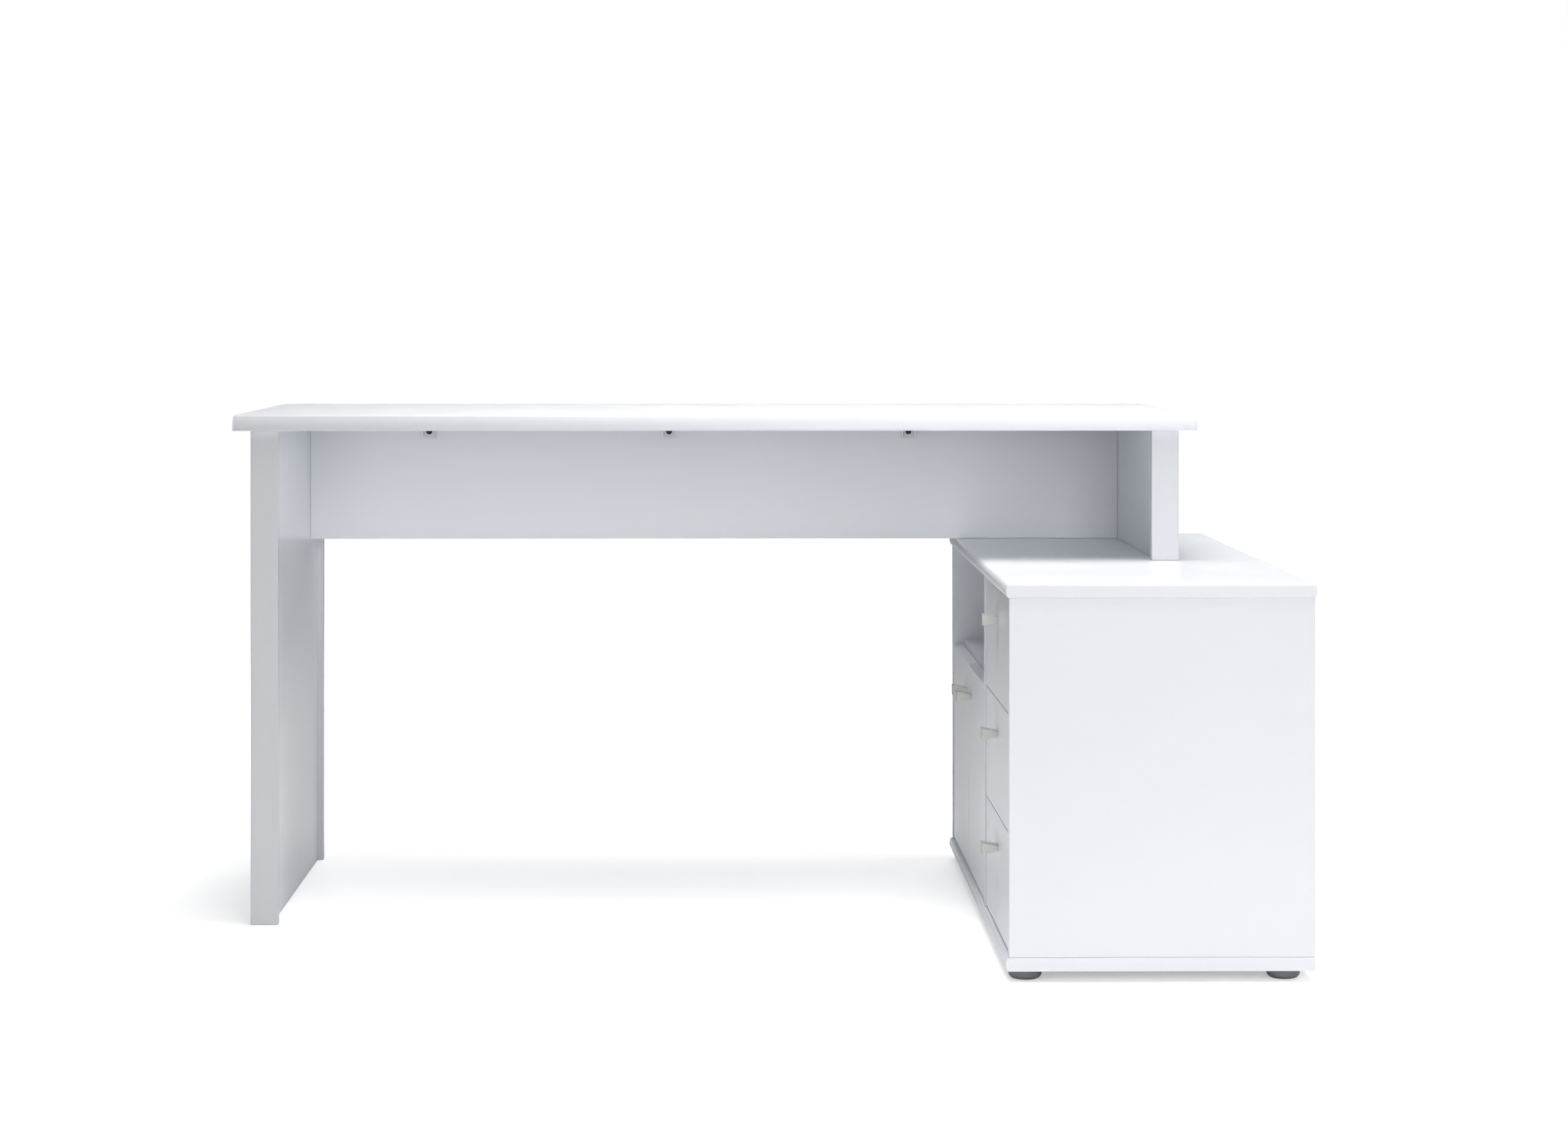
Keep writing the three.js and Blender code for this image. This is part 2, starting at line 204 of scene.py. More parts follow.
def board_shell(lo, hi, axis, rounding, bulge=None, corner=0.0004, plain=0.0003, crown=0.5):
    """A board from corner lo to corner hi, with its thickness along axis.

    rounding and bulge give lengths for the sides they name, as "-x" or "+z". crown is
    the share of the thickness at which a bulging side stands out furthest.
    """
    bulge = bulge or {}
    u, v = (axis + 1) % 3, (axis + 2) % 3
    thick = hi[axis] - lo[axis]
    sides = [(u, 0), (u, 1), (v, 0), (v, 1)]
    radii = {s: rounding.get(side_name(*s), plain) for s in sides}
    swell = {s: bulge.get(side_name(*s), 0.0) for s in sides}
    deepest = min(max(radii.values()), SHORT_RADIUS * thick)
    turn = [math.pi / 2 * k / ROUND_STEPS for k in range(ROUND_STEPS + 1)]
    depths = [deepest * (1 - math.cos(a)) for a in turn]
    inner = []
    if any(swell.values()):
        inner = [
            deepest + (thick - 2 * deepest) * k / BULGE_STEPS for k in range(1, BULGE_STEPS)
        ]
    levels = depths + inner + [thick - d for d in reversed(depths)]

    def inset(side, depth):
        near, radius = min(depth, thick - depth), min(radii[side], SHORT_RADIUS * thick)
        fall = 0.0
        if near < radius:
            fall = radius - math.sqrt(max(0.0, radius ** 2 - (radius - near) ** 2))
        reach = (depth / thick - crown) / max(crown, 1 - crown)
        return fall + swell[side] * reach ** 2

    points, faces, soft = [], [], []
    for depth in levels:
        u0, u1 = lo[u] + inset((u, 0), depth), hi[u] - inset((u, 1), depth)
        v0, v1 = lo[v] + inset((v, 0), depth), hi[v] - inset((v, 1), depth)
        c = min(corner, 0.4 * (u1 - u0), 0.4 * (v1 - v0))
        centres = ((u0 + c, v0 + c), (u1 - c, v0 + c), (u1 - c, v1 - c), (u0 + c, v1 - c))
        for quarter, (cu, cv) in enumerate(centres):
            for k in range(CORNER_STEPS + 1):
                angle = math.pi * (1 + quarter / 2 + k / CORNER_STEPS / 2)
                point = Vector((0, 0, 0))
                point[u] = cu + c * math.cos(angle)
                point[v] = cv + c * math.sin(angle)
                point[axis] = lo[axis] + depth
                points.append(point)
    ring = 4 * (CORNER_STEPS + 1)
    after = [(v, 0), (u, 1), (v, 1), (u, 0)]
    for i in range(len(levels) - 1):
        fillet = i < ROUND_STEPS or i >= len(levels) - 1 - ROUND_STEPS
        for j in range(ring):
            k = (j + 1) % ring
            quarter, step = divmod(j, CORNER_STEPS + 1)
            straight = step == CORNER_STEPS
            faces.append([i * ring + j, i * ring + k, (i + 1) * ring + k, (i + 1) * ring + j])
            soft.append(fillet or not straight or swell[after[quarter]] > 0)
    last = (len(levels) - 1) * ring
    faces += [list(reversed(range(ring))), [last + j for j in range(ring)]]
    return points, faces, soft + [False, False]


def turned_shell(profile, centre, axis, segments=48):
    """A turned shape. profile runs from pole to pole as (radius, height) above centre."""
    u, v = (axis + 1) % 3, (axis + 2) % 3
    points, rows = [], []
    for radius, height in profile:
        row = []
        for k in range(segments if radius > NEAR_ZERO else 1):
            angle = 2 * math.pi * k / segments
            point = Vector(centre)
            point[u] += radius * math.cos(angle)
            point[v] += radius * math.sin(angle)
            point[axis] += height
            row.append(len(points))
            points.append(point)
        rows.append(row)
    faces, soft = [], []
    for (low, high), (r0, r1) in zip(
        zip(rows, rows[1:]), zip(profile, profile[1:])
    ):
        flat = abs(r0[1] - r1[1]) < 1e-7
        for k in range(segments):
            n = (k + 1) % segments
            if len(low) == 1:
                faces.append([low[0], high[n], high[k]])
            elif len(high) == 1:
                faces.append([low[k], low[n], high[0]])
            else:
                faces.append([low[k], low[n], high[n], high[k]])
            soft.append(not flat)
    return points, faces, soft


def prism_shell(outline, axis, start, end):
    """An outline in the plane of the two axes after axis, anticlockwise, drawn out along axis."""
    u, v = (axis + 1) % 3, (axis + 2) % 3
    area = sum(a[0] * b[1] - b[0] * a[1] for a, b in zip(outline, outline[1:] + outline[:1]))
    if area < 0:
        outline = list(reversed(outline))
    points = []
    for place in (start, end):
        for pu, pv in outline:
            point = Vector((0, 0, 0))
            point[u], point[v], point[axis] = pu, pv, place
            points.append(point)
    n = len(outline)
    faces = [[k, (k + 1) % n, n + (k + 1) % n, n + k] for k in range(n)]
    faces += [list(reversed(range(n))), [n + k for k in range(n)]]
    return points, faces, [False] * len(faces)


def cad_shell(node):
    """A merged copy of a CAD node's mesh, with its flat faces joined up."""
    mesh = bmesh.new()
    mesh.from_mesh(frame["nodes"][node].data)
    bmesh.ops.remove_doubles(mesh, verts=mesh.verts, dist=1e-6)
    bmesh.ops.dissolve_limit(
        mesh, angle_limit=FLAT_ANGLE, verts=mesh.verts, edges=mesh.edges,
        use_dissolve_boundaries=False,
    )
    return listed(mesh)


def listed(mesh):
    """The shell held by a bmesh, which is freed."""
    mesh.verts.index_update()
    shell = (
        [v.co.copy() for v in mesh.verts],
        [[v.index for v in f.verts] for f in mesh.faces],
        [f.smooth for f in mesh.faces],
    )
    mesh.free()
    return shell


def eased(shell, width, segments=2):
    """The same shell with its sharp edges rounded over."""
    points, faces, _ = shell
    mesh = bmesh.new()
    corners = [mesh.verts.new(p) for p in points]
    for face in faces:
        mesh.faces.new([corners[i] for i in face])
    for face in mesh.faces:
        face.smooth = any(
            FLAT_ANGLE < e.calc_face_angle(0) < SHARP_ANGLE for e in face.edges
        )
    sharp = [e for e in mesh.edges if e.calc_face_angle(0) >= SHARP_ANGLE]
    made = bmesh.ops.bevel(
        mesh, geom=sharp, offset=width, segments=segments, profile=0.5,
        affect="EDGES", clamp_overlap=True,
    )
    for face in made["faces"]:
        face.smooth = True
    return listed(mesh)


def new_object(name, points, faces, soft, finishes, slots):
    mesh = bpy.data.meshes.new(name)
    mesh.from_pydata(points, [], faces)
    for paint in finishes:
        mesh.materials.append(paint)
    mesh.polygons.foreach_set("use_smooth", soft)
    mesh.polygons.foreach_set("material_index", slots)
    mesh.update()
    made = bpy.data.objects.new(name, mesh)
    bpy.context.scene.collection.objects.link(made)
    return made


class Piece:
    """Gathers the shells of one piece, then sets it on its body."""

    def __init__(self, name, *finishes):
        self.name, self.finishes = name, finishes
        self.points, self.faces, self.soft, self.slots = [], [], [], []
        self.cutters = []

    def add(self, shell, slot=0):
        points, faces, soft = shell
        base = len(self.points)
        self.points += points
        self.faces += [[base + i for i in face] for face in faces]
        self.soft += soft
        self.slots += [slot] * len(faces)
        return self

    def drill(self, *shells):
        self.cutters += shells
        return self

    def build(self):
        made = new_object(
            self.name, self.points, self.faces, self.soft, self.finishes, self.slots
        )
        for k, shell in enumerate(self.cutters):
            tool = new_object(f"{self.name}_tool", *shell, [], [0] * len(shell[1]))
            bore = made.modifiers.new(f"bore_{k}", "BOOLEAN")
            bore.operation, bore.solver, bore.object = "DIFFERENCE", "EXACT", tool
            made.data = evaluated_mesh(made, self.name)
            made.modifiers.clear()
            bpy.data.objects.remove(tool)
        return made

    def stand_for(self, *nodes):
        """Sets the piece in place of its CAD nodes."""
        made = self.build()
        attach(made, BODY_OF[nodes[0]])
        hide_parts(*nodes)
        return made

    def set_on(self, body):
        """Sets a piece that the CAD has no node for on a body."""
        made = self.build()
        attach(made, body)
        return made


def evaluated_mesh(made, name):
    graph = bpy.context.evaluated_depsgraph_get()
    graph.update()
    mesh = bpy.data.meshes.new_from_object(made.evaluated_get(graph))
    mesh.name = name
    return mesh


def middle(node):
    lo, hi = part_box(node)
    return (lo + hi) / 2


def side_axis(side):
    return "xyz".index(side[1]), side[0] == "+"


def cut_bands(piece, lo, hi, axis, bands, thick, rounding, bulge, crown):
    """Adds edge bands to the named sides and returns the box that is left for the core."""
    seam = settings().boards.seam
    lo, hi = lo.copy(), hi.copy()
    for side in bands:
        a, high = side_axis(side)
        band_lo, band_hi = lo.copy(), hi.copy()
        if high:
            band_lo[a] = hi[a] - thick
            hi[a] = band_lo[a] - seam
        else:
            band_hi[a] = lo[a] + thick
            lo[a] = band_hi[a] + seam
        inner = side_name(a, not high)
        shape = board_shell(
            band_lo, band_hi, axis, {**rounding, inner: seam}, {**bulge, inner: 0.0},
            crown=crown,
        )
        piece.add(shape, slot=1)
    return lo, hi


def make_board(node, axis, bands=(), edge=None, rounding=None, bulge=None, crown=0.5,
               thick=None, drill=(), suffix="board", faces="laminate", bands_of="edge_band"):
    """One laminated board with its edge bands, in place of a CAD node."""
    boards = settings().boards
    edge = boards.edge if edge is None else edge
    thick = thick or boards.band_thickness
    bulge = bulge or {}
    rounding = {**{side: edge for side in bands}, **(rounding or {})}
    piece = Piece(f"{node}_{suffix}", finish(faces), finish(bands_of))
    lo, hi = cut_bands(piece, *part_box(node), axis, bands, thick, rounding, bulge, crown)
    core = {s: r for s, r in rounding.items() if s not in bands}
    core.update({side: boards.seam for side in bands})
    core_bulge = {s: b for s, b in bulge.items() if s not in bands}
    piece.add(board_shell(lo, hi, axis, core, core_bulge, crown=crown))
    return piece.drill(*drill).stand_for(node)


# ------------------------------------------------------------------ finishes


class Graph:
    """Short calls for building one node tree."""

    def __init__(self, tree):
        self.tree = tree

    def node(self, kind, inputs=None, **options):
        made = self.tree.nodes.new(kind)
        made.location = (190 * (len(self.tree.nodes) % 9), -230 * (len(self.tree.nodes) // 9))
        for key, value in options.items():
            setattr(made, key, value)
        for key, value in (inputs or {}).items():
            self.feed(made.inputs[key], value)
        return made

    def feed(self, socket, value):
        if isinstance(value, bpy.types.NodeSocket):
            self.tree.links.new(value, socket)
        else:
            socket.default_value = value

    def maths(self, operation, first, second=0.0, third=0.0):
        made = self.node("ShaderNodeMath", {0: first, 1: second, 2: third}, operation=operation)
        return made.outputs[0]

    def group(self, tree, inputs):
        made = self.node("ShaderNodeGroup", node_tree=tree)
        for key, value in inputs.items():
            self.feed(made.inputs[key], value)
        return made


def new_group(name, kind, sockets):
    """A node group. sockets lists (label, IN or OUT, socket type, default)."""
    tree = bpy.data.node_groups.new(name, kind)
    for label, way, socket, default in sockets:
        made = tree.interface.new_socket(name=label, in_out=way, socket_type=socket)
        if default is not None:
            made.default_value = default
    graph = Graph(tree)
    return tree, graph, graph.node("NodeGroupInput"), graph.node("NodeGroupOutput")


def shared_tree(name, build):
    return bpy.data.node_groups.get(name) or build(name)


def pearl_grain(name):
    """Fine pearl texture pressed into melamine and edge bands."""
    tree, graph, given, result = new_group(name, "ShaderNodeTree", [
        ("Vector", "INPUT", "NodeSocketVector", None),
        ("Size", "INPUT", "NodeSocketFloat", 0.001),
        ("Height", "OUTPUT", "NodeSocketFloat", None),
    ])
    pitch = graph.maths("DIVIDE", 1.0, given.outputs["Size"])
    grains = graph.node(
        "ShaderNodeTexVoronoi", {"Vector": given.outputs["Vector"], "Scale": pitch},
        feature="SMOOTH_F1",
    )
    waves = graph.node("ShaderNodeTexNoise", {
        "Vector": given.outputs["Vector"],
        "Scale": graph.maths("MULTIPLY", pitch, 0.6), "Detail": 3.0,
    })
    both = graph.maths("MULTIPLY_ADD", grains.outputs["Distance"], 0.6, waves.outputs[0])
    graph.feed(result.inputs["Height"], both)
    return tree


def tone_drift(name):
    """Slow change of tone over a surface, as a factor near one."""
    tree, graph, given, result = new_group(name, "ShaderNodeTree", [
        ("Vector", "INPUT", "NodeSocketVector", None),
        ("Size", "INPUT", "NodeSocketFloat", 0.3),
        ("Spread", "INPUT", "NodeSocketFloat", 0.01),
        ("Tone", "OUTPUT", "NodeSocketFloat", None),
    ])
    cloud = graph.node("ShaderNodeTexNoise", {
        "Vector": given.outputs["Vector"],
        "Scale": graph.maths("DIVIDE", 1.0, given.outputs["Size"]), "Detail": 4.0,
    })
    centred = graph.maths("SUBTRACT", cloud.outputs[0], 0.5)
    swing = graph.maths("MULTIPLY", given.outputs["Spread"], 4.0)
    graph.feed(result.inputs["Tone"], graph.maths("MULTIPLY_ADD", centred, swing, 1.0))
    return tree


def handling_marks(name):
    """Faint wiped marks that change only the gloss."""
    tree, graph, given, result = new_group(name, "ShaderNodeTree", [
        ("Vector", "INPUT", "NodeSocketVector", None),
        ("Size", "INPUT", "NodeSocketFloat", 0.08),
        ("Cover", "INPUT", "NodeSocketFloat", 0.4),
        ("Mask", "OUTPUT", "NodeSocketFloat", None),
    ])
    pitch = graph.maths("DIVIDE", 1.0, given.outputs["Size"])
    patches = graph.node("ShaderNodeTexNoise", {
        "Vector": given.outputs["Vector"], "Scale": pitch, "Detail": 5.0,
        "Roughness": 0.6, "Distortion": 1.2,
    })
    low = graph.maths("SUBTRACT", 0.75, given.outputs["Cover"])
    band = graph.node("ShaderNodeMapRange", {
        "Value": patches.outputs[0], "From Min": low,
        "From Max": graph.maths("ADD", low, 0.35),
    }, clamp=True)
    graph.feed(result.inputs["Mask"], band.outputs[0])
    return tree


def rubbed_edges(name):
    """Mask of the convex edges: it paints them paler as a painted highlight, and makes them
    glossier where hands and cloths rub.
    """
    tree, graph, given, result = new_group(name, "ShaderNodeTree", [
        ("Amount", "INPUT", "NodeSocketFloat", 1.0),
        ("Mask", "OUTPUT", "NodeSocketFloat", None),
    ])
    surface = graph.node("ShaderNodeNewGeometry")
    band = graph.node("ShaderNodeMapRange", {
        "Value": surface.outputs["Pointiness"], "From Min": 0.51, "From Max": 0.58,
        "To Max": given.outputs["Amount"],
    }, clamp=True)
    graph.feed(result.inputs["Mask"], band.outputs[0])
    return tree


# roughness, grain size as a share of the laminate's, grain depth likewise, tone spread,
# metallic, coat
FINISHES = {
    "laminate": (0.34, 1.0, 0.35, 0.006, 0.0, 0.0),
    "edge_band": (0.36, 1.3, 0.10, 0.004, 0.0, 0.0),
    # The strips' laminate, coloured greyer as painted shade.
    "strip_foil": (0.38, 1.0, 0.35, 0.006, 0.0, 0.0),
    "hardboard": (0.58, 2.2, 2.5, 0.020, 0.0, 0.0),
    "white_plastic": (0.42, 0.7, 0.8, 0.006, 0.0, 0.0),
    "foot_plastic": (0.55, 0.9, 3.0, 0.060, 0.0, 0.0),
    "satin_handle": (0.42, 0.5, 0.4, 0.015, 0.85, 0.0),
    "nickel": (0.28, 0.6, 0.4, 0.020, 1.0, 0.0),
    "runner_coat": (0.38, 1.6, 1.2, 0.008, 0.0, 0.3),
    "dark_screw": (0.45, 0.5, 0.6, 0.050, 0.7, 0.0),
}
BRUSHED = ("satin_handle", "nickel")
DRIFT_SIZE = 0.22      # size of the slow changes of tone
MARK_SIZE = 0.07       # size of the wiped marks
MARK_COVER = 0.35      # share of the surface they cover
MARK_DULLING = 0.07    # roughness they add
EDGE_POLISH = -0.05    # roughness that rubbing takes off an edge
# Convex edges are painted this much paler, a painted highlight: factor and offset.
EDGE_HIGHLIGHT = (1.03, 0.004)   # rubbed edges are this much paler: factor and offset


def finish_colour(name):
    boards, hardware = settings().boards, settings().hardware
    return {
        "laminate": boards.laminate, "edge_band": boards.band, "hardboard": boards.hardboard,
        "strip_foil": boards.strip_shade,
        "white_plastic": hardware.plastic, "foot_plastic": hardware.foot,
        "satin_handle": hardware.handle, "nickel": hardware.nickel,
        "runner_coat": hardware.rail, "dark_screw": hardware.dark_screw,
    }[name]


def finish(name):
    """The material of that name, made when it is first asked for."""
    found = bpy.data.materials.get(name)
    if found:
        return found
    boards = settings().boards
    roughness, grain, depth, spread, metallic, coat = FINISHES[name]
    if name == "laminate":
        roughness = boards.gloss
    made = bpy.data.materials.new(name)
    made.use_nodes = True
    graph = Graph(made.node_tree)
    shader = made.node_tree.nodes["Principled BSDF"]
    place = graph.node("ShaderNodeTexCoord").outputs["Object"]
    grain_place = place
    if name in BRUSHED:
        grain_place = graph.node("ShaderNodeMapping", {"Vector": place, "Scale": (1, 0.04, 1)})
        grain_place = grain_place.outputs[0]
    tone = graph.group(shared_tree("tone_drift", tone_drift), {
        "Vector": place, "Size": DRIFT_SIZE, "Spread": spread,
    }).outputs["Tone"]
    edges = graph.group(shared_tree("rubbed_edges", rubbed_edges), {"Amount": 1.0})
    marks = graph.group(shared_tree("handling_marks", handling_marks), {
        "Vector": place, "Size": MARK_SIZE, "Cover": MARK_COVER,
    }).outputs["Mask"]
    grains = graph.group(shared_tree("pearl_grain", pearl_grain), {
        "Vector": grain_place, "Size": boards.grain * grain,
    }).outputs["Height"]
    base = (*finish_colour(name), 1.0)
    toned = graph.node("ShaderNodeVectorMath", {0: base[:3], "Scale": tone}, operation="SCALE")
    # Convex edges are painted paler here: a painted highlight. Their lower roughness further down
    # is rubbing wear.
    highlit = [min(1.0, EDGE_HIGHLIGHT[0] * c + EDGE_HIGHLIGHT[1]) for c in base[:3]]
    shade = graph.node("ShaderNodeMix", {
        0: edges.outputs["Mask"], 6: toned.outputs[0], 7: (*highlit, 1.0),
    }, data_type="RGBA")
    graph.feed(shader.inputs["Base Color"], shade.outputs[2])
    worn = graph.maths("MULTIPLY_ADD", marks, MARK_DULLING, roughness)
    gloss = graph.maths("MULTIPLY_ADD", edges.outputs["Mask"], EDGE_POLISH, worn)
    graph.feed(shader.inputs["Roughness"], gloss)
    shader.inputs["Metallic"].default_value = metallic
    shader.inputs["Coat Weight"].default_value = coat
    bump = graph.node("ShaderNodeBump", {
        "Height": grains, "Distance": boards.grain_depth * depth, "Strength": 0.6,
    })
    graph.feed(shader.inputs["Normal"], bump.outputs[0])
    return made


# ------------------------------------------------------------------ repeated small parts


def round_heads(name):
    """Sets a turned head on every point: screws with a cross, nails, caps and rollers."""
    tree, graph, given, result = new_group(name, "GeometryNodeTree", [
        ("Geometry", "INPUT", "NodeSocketGeometry", None),
        ("Radius", "INPUT", "NodeSocketFloat", 0.004),
        ("Height", "INPUT", "NodeSocketFloat", 0.002),
        ("Chamfer", "INPUT", "NodeSocketFloat", 0.0005),
        ("Crossed", "INPUT", "NodeSocketBool", False),
        ("Seed", "INPUT", "NodeSocketInt", 1),
        ("Finish", "INPUT", "NodeSocketMaterial", None),
        ("Geometry", "OUTPUT", "NodeSocketGeometry", None),
    ])
    radius, height = given.outputs["Radius"], given.outputs["Height"]
    disc = graph.node("GeometryNodeMeshCylinder", {
        "Vertices": 20, "Side Segments": 3, "Radius": radius, "Depth": height,
    })
    lifted = graph.node("GeometryNodeTransform", {
        "Geometry": disc.outputs["Mesh"],
        "Translation": graph.node(
            "ShaderNodeCombineXYZ", {"Z": graph.maths("MULTIPLY", height, 0.5)}
        ).outputs[0],
    })
    place = graph.node("GeometryNodeInputPosition")
    parts = graph.node("ShaderNodeSeparateXYZ", {0: place.outputs[0]})
    near_top = graph.node("FunctionNodeCompare", {
        0: parts.outputs["Z"], 1: graph.maths("MULTIPLY", height, 0.9),
    }, data_type="FLOAT", operation="GREATER_THAN")
    kept = graph.maths(
        "DIVIDE", graph.maths("SUBTRACT", radius, given.outputs["Chamfer"]), radius
    )
    drawn_in = graph.node("ShaderNodeVectorMath", {
        0: place.outputs[0],
        1: graph.node("ShaderNodeCombineXYZ", {0: kept, 1: kept, 2: 1.0}).outputs[0],
    }, operation="MULTIPLY")
    shaped = graph.node("GeometryNodeSetPosition", {
        "Geometry": lifted.outputs[0], "Selection": near_top.outputs[0],
        "Position": drawn_in.outputs[0],
    })
    arm_long = graph.maths("MULTIPLY", radius, 1.1)
    arm_wide = graph.maths("MULTIPLY", radius, 0.24)
    arms = []
    for u, v in ((arm_long, arm_wide), (arm_wide, arm_long)):
        size = graph.node("ShaderNodeCombineXYZ", {0: u, 1: v, 2: height})
        cube = graph.node("GeometryNodeMeshCube", {"Size": size.outputs[0]})
        arms.append(graph.node("GeometryNodeTransform", {
            "Geometry": cube.outputs["Mesh"],
            "Translation": graph.node(
                "ShaderNodeCombineXYZ", {"Z": graph.maths("MULTIPLY", height, 0.95)}
            ).outputs[0],
        }))
    cross = graph.node("GeometryNodeMeshBoolean", operation="DIFFERENCE")
    graph.tree.links.new(shaped.outputs[0], cross.inputs["Mesh 1"])
    for arm in arms:
        graph.tree.links.new(arm.outputs[0], cross.inputs["Mesh 2"])
    head = graph.node("GeometryNodeSwitch", {
        "Switch": given.outputs["Crossed"], "False": shaped.outputs[0],
        "True": cross.outputs["Mesh"],
    }, input_type="GEOMETRY")
    side = graph.node("ShaderNodeSeparateXYZ", {
        0: graph.node("GeometryNodeInputNormal").outputs[0]
    })
    upright = graph.node("FunctionNodeCompare", {
        0: graph.maths("ABSOLUTE", side.outputs["Z"]), 1: 0.95,
    }, data_type="FLOAT", operation="LESS_THAN")
    smooth = graph.node("GeometryNodeSetShadeSmooth", {
        "Geometry": head.outputs[0], "Shade Smooth": upright.outputs[0],
    })
    facing = graph.node(
        "GeometryNodeInputNamedAttribute", {"Name": "facing"}, data_type="FLOAT_VECTOR"
    )
    turned = graph.node("FunctionNodeAlignRotationToVector", {
        "Vector": facing.outputs["Attribute"],
    }, axis="Z")
    placed = graph.node("GeometryNodeInstanceOnPoints", {
        "Points": given.outputs["Geometry"], "Instance": smooth.outputs[0],
        "Rotation": turned.outputs[0],
    })
    spin = graph.node("FunctionNodeRandomValue", {
        2: 0.0, 3: math.pi, "Seed": given.outputs["Seed"],
    }, data_type="FLOAT")
    spun = graph.node("GeometryNodeRotateInstances", {
        "Instances": placed.outputs[0],
        "Rotation": graph.node("ShaderNodeCombineXYZ", {"Z": spin.outputs[1]}).outputs[0],
    })
    real = graph.node("GeometryNodeRealizeInstances", {"Geometry": spun.outputs[0]})
    painted = graph.node("GeometryNodeSetMaterial", {
        "Geometry": real.outputs[0], "Material": given.outputs["Finish"],
    })
    graph.feed(result.inputs["Geometry"], painted.outputs[0])
    return tree


def set_heads(name, body, places, radius, height, chamfer, coat, crossed=False):
    """One mesh of heads for a body. places lists (point, direction the head faces)."""
    tree = shared_tree("round_heads", round_heads)
    mesh = bpy.data.meshes.new(name)
    mesh.from_pydata([point for point, _ in places], [], [])
    facing = mesh.attributes.new("facing", "FLOAT_VECTOR", "POINT")
    facing.data.foreach_set("vector", [c for _, way in places for c in way])
    made = bpy.data.objects.new(name, mesh)
    bpy.context.scene.collection.objects.link(made)
    heads = made.modifiers.new("heads", "NODES")
    heads.node_group = tree
    wanted = {
        "Radius": radius, "Height": height, "Chamfer": chamfer, "Crossed": crossed,
        "Seed": settings().hardware.seed, "Finish": finish(coat),
    }
    for socket in tree.interface.items_tree:
        if socket.in_out == "INPUT" and socket.name in wanted:
            heads[socket.identifier] = wanted[socket.name]
    made.data = evaluated_mesh(made, name)
    made.modifiers.clear()
    bpy.data.meshes.remove(mesh)
    if not made.data.polygons:
        raise RuntimeError(f"{name} came out empty")
    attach(made, body)
    return made


def way(axis, sign):
    """Unit direction along an axis."""
    direction = Vector((0, 0, 0))
    direction[axis] = sign
    return direction


def screws(name, body, places, coat="nickel", radius=None):
    hardware = settings().hardware
    radius = radius or hardware.screw_radius
    height = hardware.screw_height
    return set_heads(name, body, places, radius, height, 0.35 * radius, coat, True)


# ------------------------------------------------------------------ the pieces


class DeskOperator(bpy.types.Operator):
    """Shared settings of the desk's operators"""

    bl_idname = "corner_desk.none"
    bl_label = "Corner desk"
    bl_options = {"REGISTER", "UNDO"}

    def execute(self, context):
        self.make()
        return {"FINISHED"}


class CORNERDESK_OT_desktop(DeskOperator):
    """Postformed desktop with a bulging front edge and thick bands on its ends"""

    bl_idname = "corner_desk.desktop"
    bl_label = "Desktop"

    def make(self):
        boards = settings().boards
        make_board(
            "desktop", 2, ("-x", "+x"), edge=0.6 * boards.edge, thick=boards.end_band,
            rounding={"-y": boards.nose_edge},
            bulge={"-x": boards.end_bulge, "+x": boards.end_bulge, "-y": boards.desk_bulge},
            crown=boards.desk_crown,
        )


class CORNERDESK_OT_supports(DeskOperator):
    """Left leg and right support: a panel closed by an upright strip at each end"""

    bl_idname = "corner_desk.supports"
    bl_label = "Supports"

    def make(self):
        boards = settings().boards
        for side in ("left", "right"):
            make_board(f"{side}_side_panel", 0, ("-z",))
            for end in ("front", "rear"):
                # The strips take the greyer laminate, which paints the shade on them.
                make_board(f"{side}_{end}_strip", 1, ("-x", "+x", "-z"),
                           edge=min(boards.soft_edge, 0.85 * boards.band_thickness),
                           faces="strip_foil", bands_of="strip_foil")


class CORNERDESK_OT_back_panel(DeskOperator):
    """Back panel below the desktop, with cover caps over its cam fittings"""

    bl_idname = "corner_desk.back_panel"
    bl_label = "Back panel"

    def make(self):
        make_board("back_panel", 1, ("-z",))
        lo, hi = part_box("back_panel")
        radius = settings().hardware.cap_radius
        caps = [
            (Vector((x, hi.y - SUNK, z)), way(1, 1))
            for x in (lo.x + CAM_INSET, hi.x - CAM_INSET)
            for z in (lo.z + CAM_INSET, hi.z - CAM_INSET)
        ]
        set_heads("back_panel_caps", "frame", caps, radius, 0.0014, 0.0006,
                  "white_plastic")


class CORNERDESK_OT_brackets(DeskOperator):
    """Moulded corner brackets between the back panel and the desktop"""

    bl_idname = "corner_desk.brackets"
    bl_label = "Corner brackets"

    def make(self):
        bolts = []
        for number in (1, 2, 3):
            node = f"corner_bracket_{number}"
            piece = Piece(f"{node}_moulding", finish("white_plastic"))
            piece.add(eased(cad_shell(node), 0.0005)).stand_for(node)
            lo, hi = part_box(node)
            x = (lo.x + hi.x) / 2
            plate, drop = 0.003, 0.018
            bolts.append((Vector((x, hi.y - plate + SUNK, hi.z - drop)), way(1, -1)))
            bolts.append((Vector((x, hi.y - drop, hi.z - plate + SUNK)), way(2, -1)))
        screws("bracket_screws", "frame", bolts, "dark_screw", 0.0048)


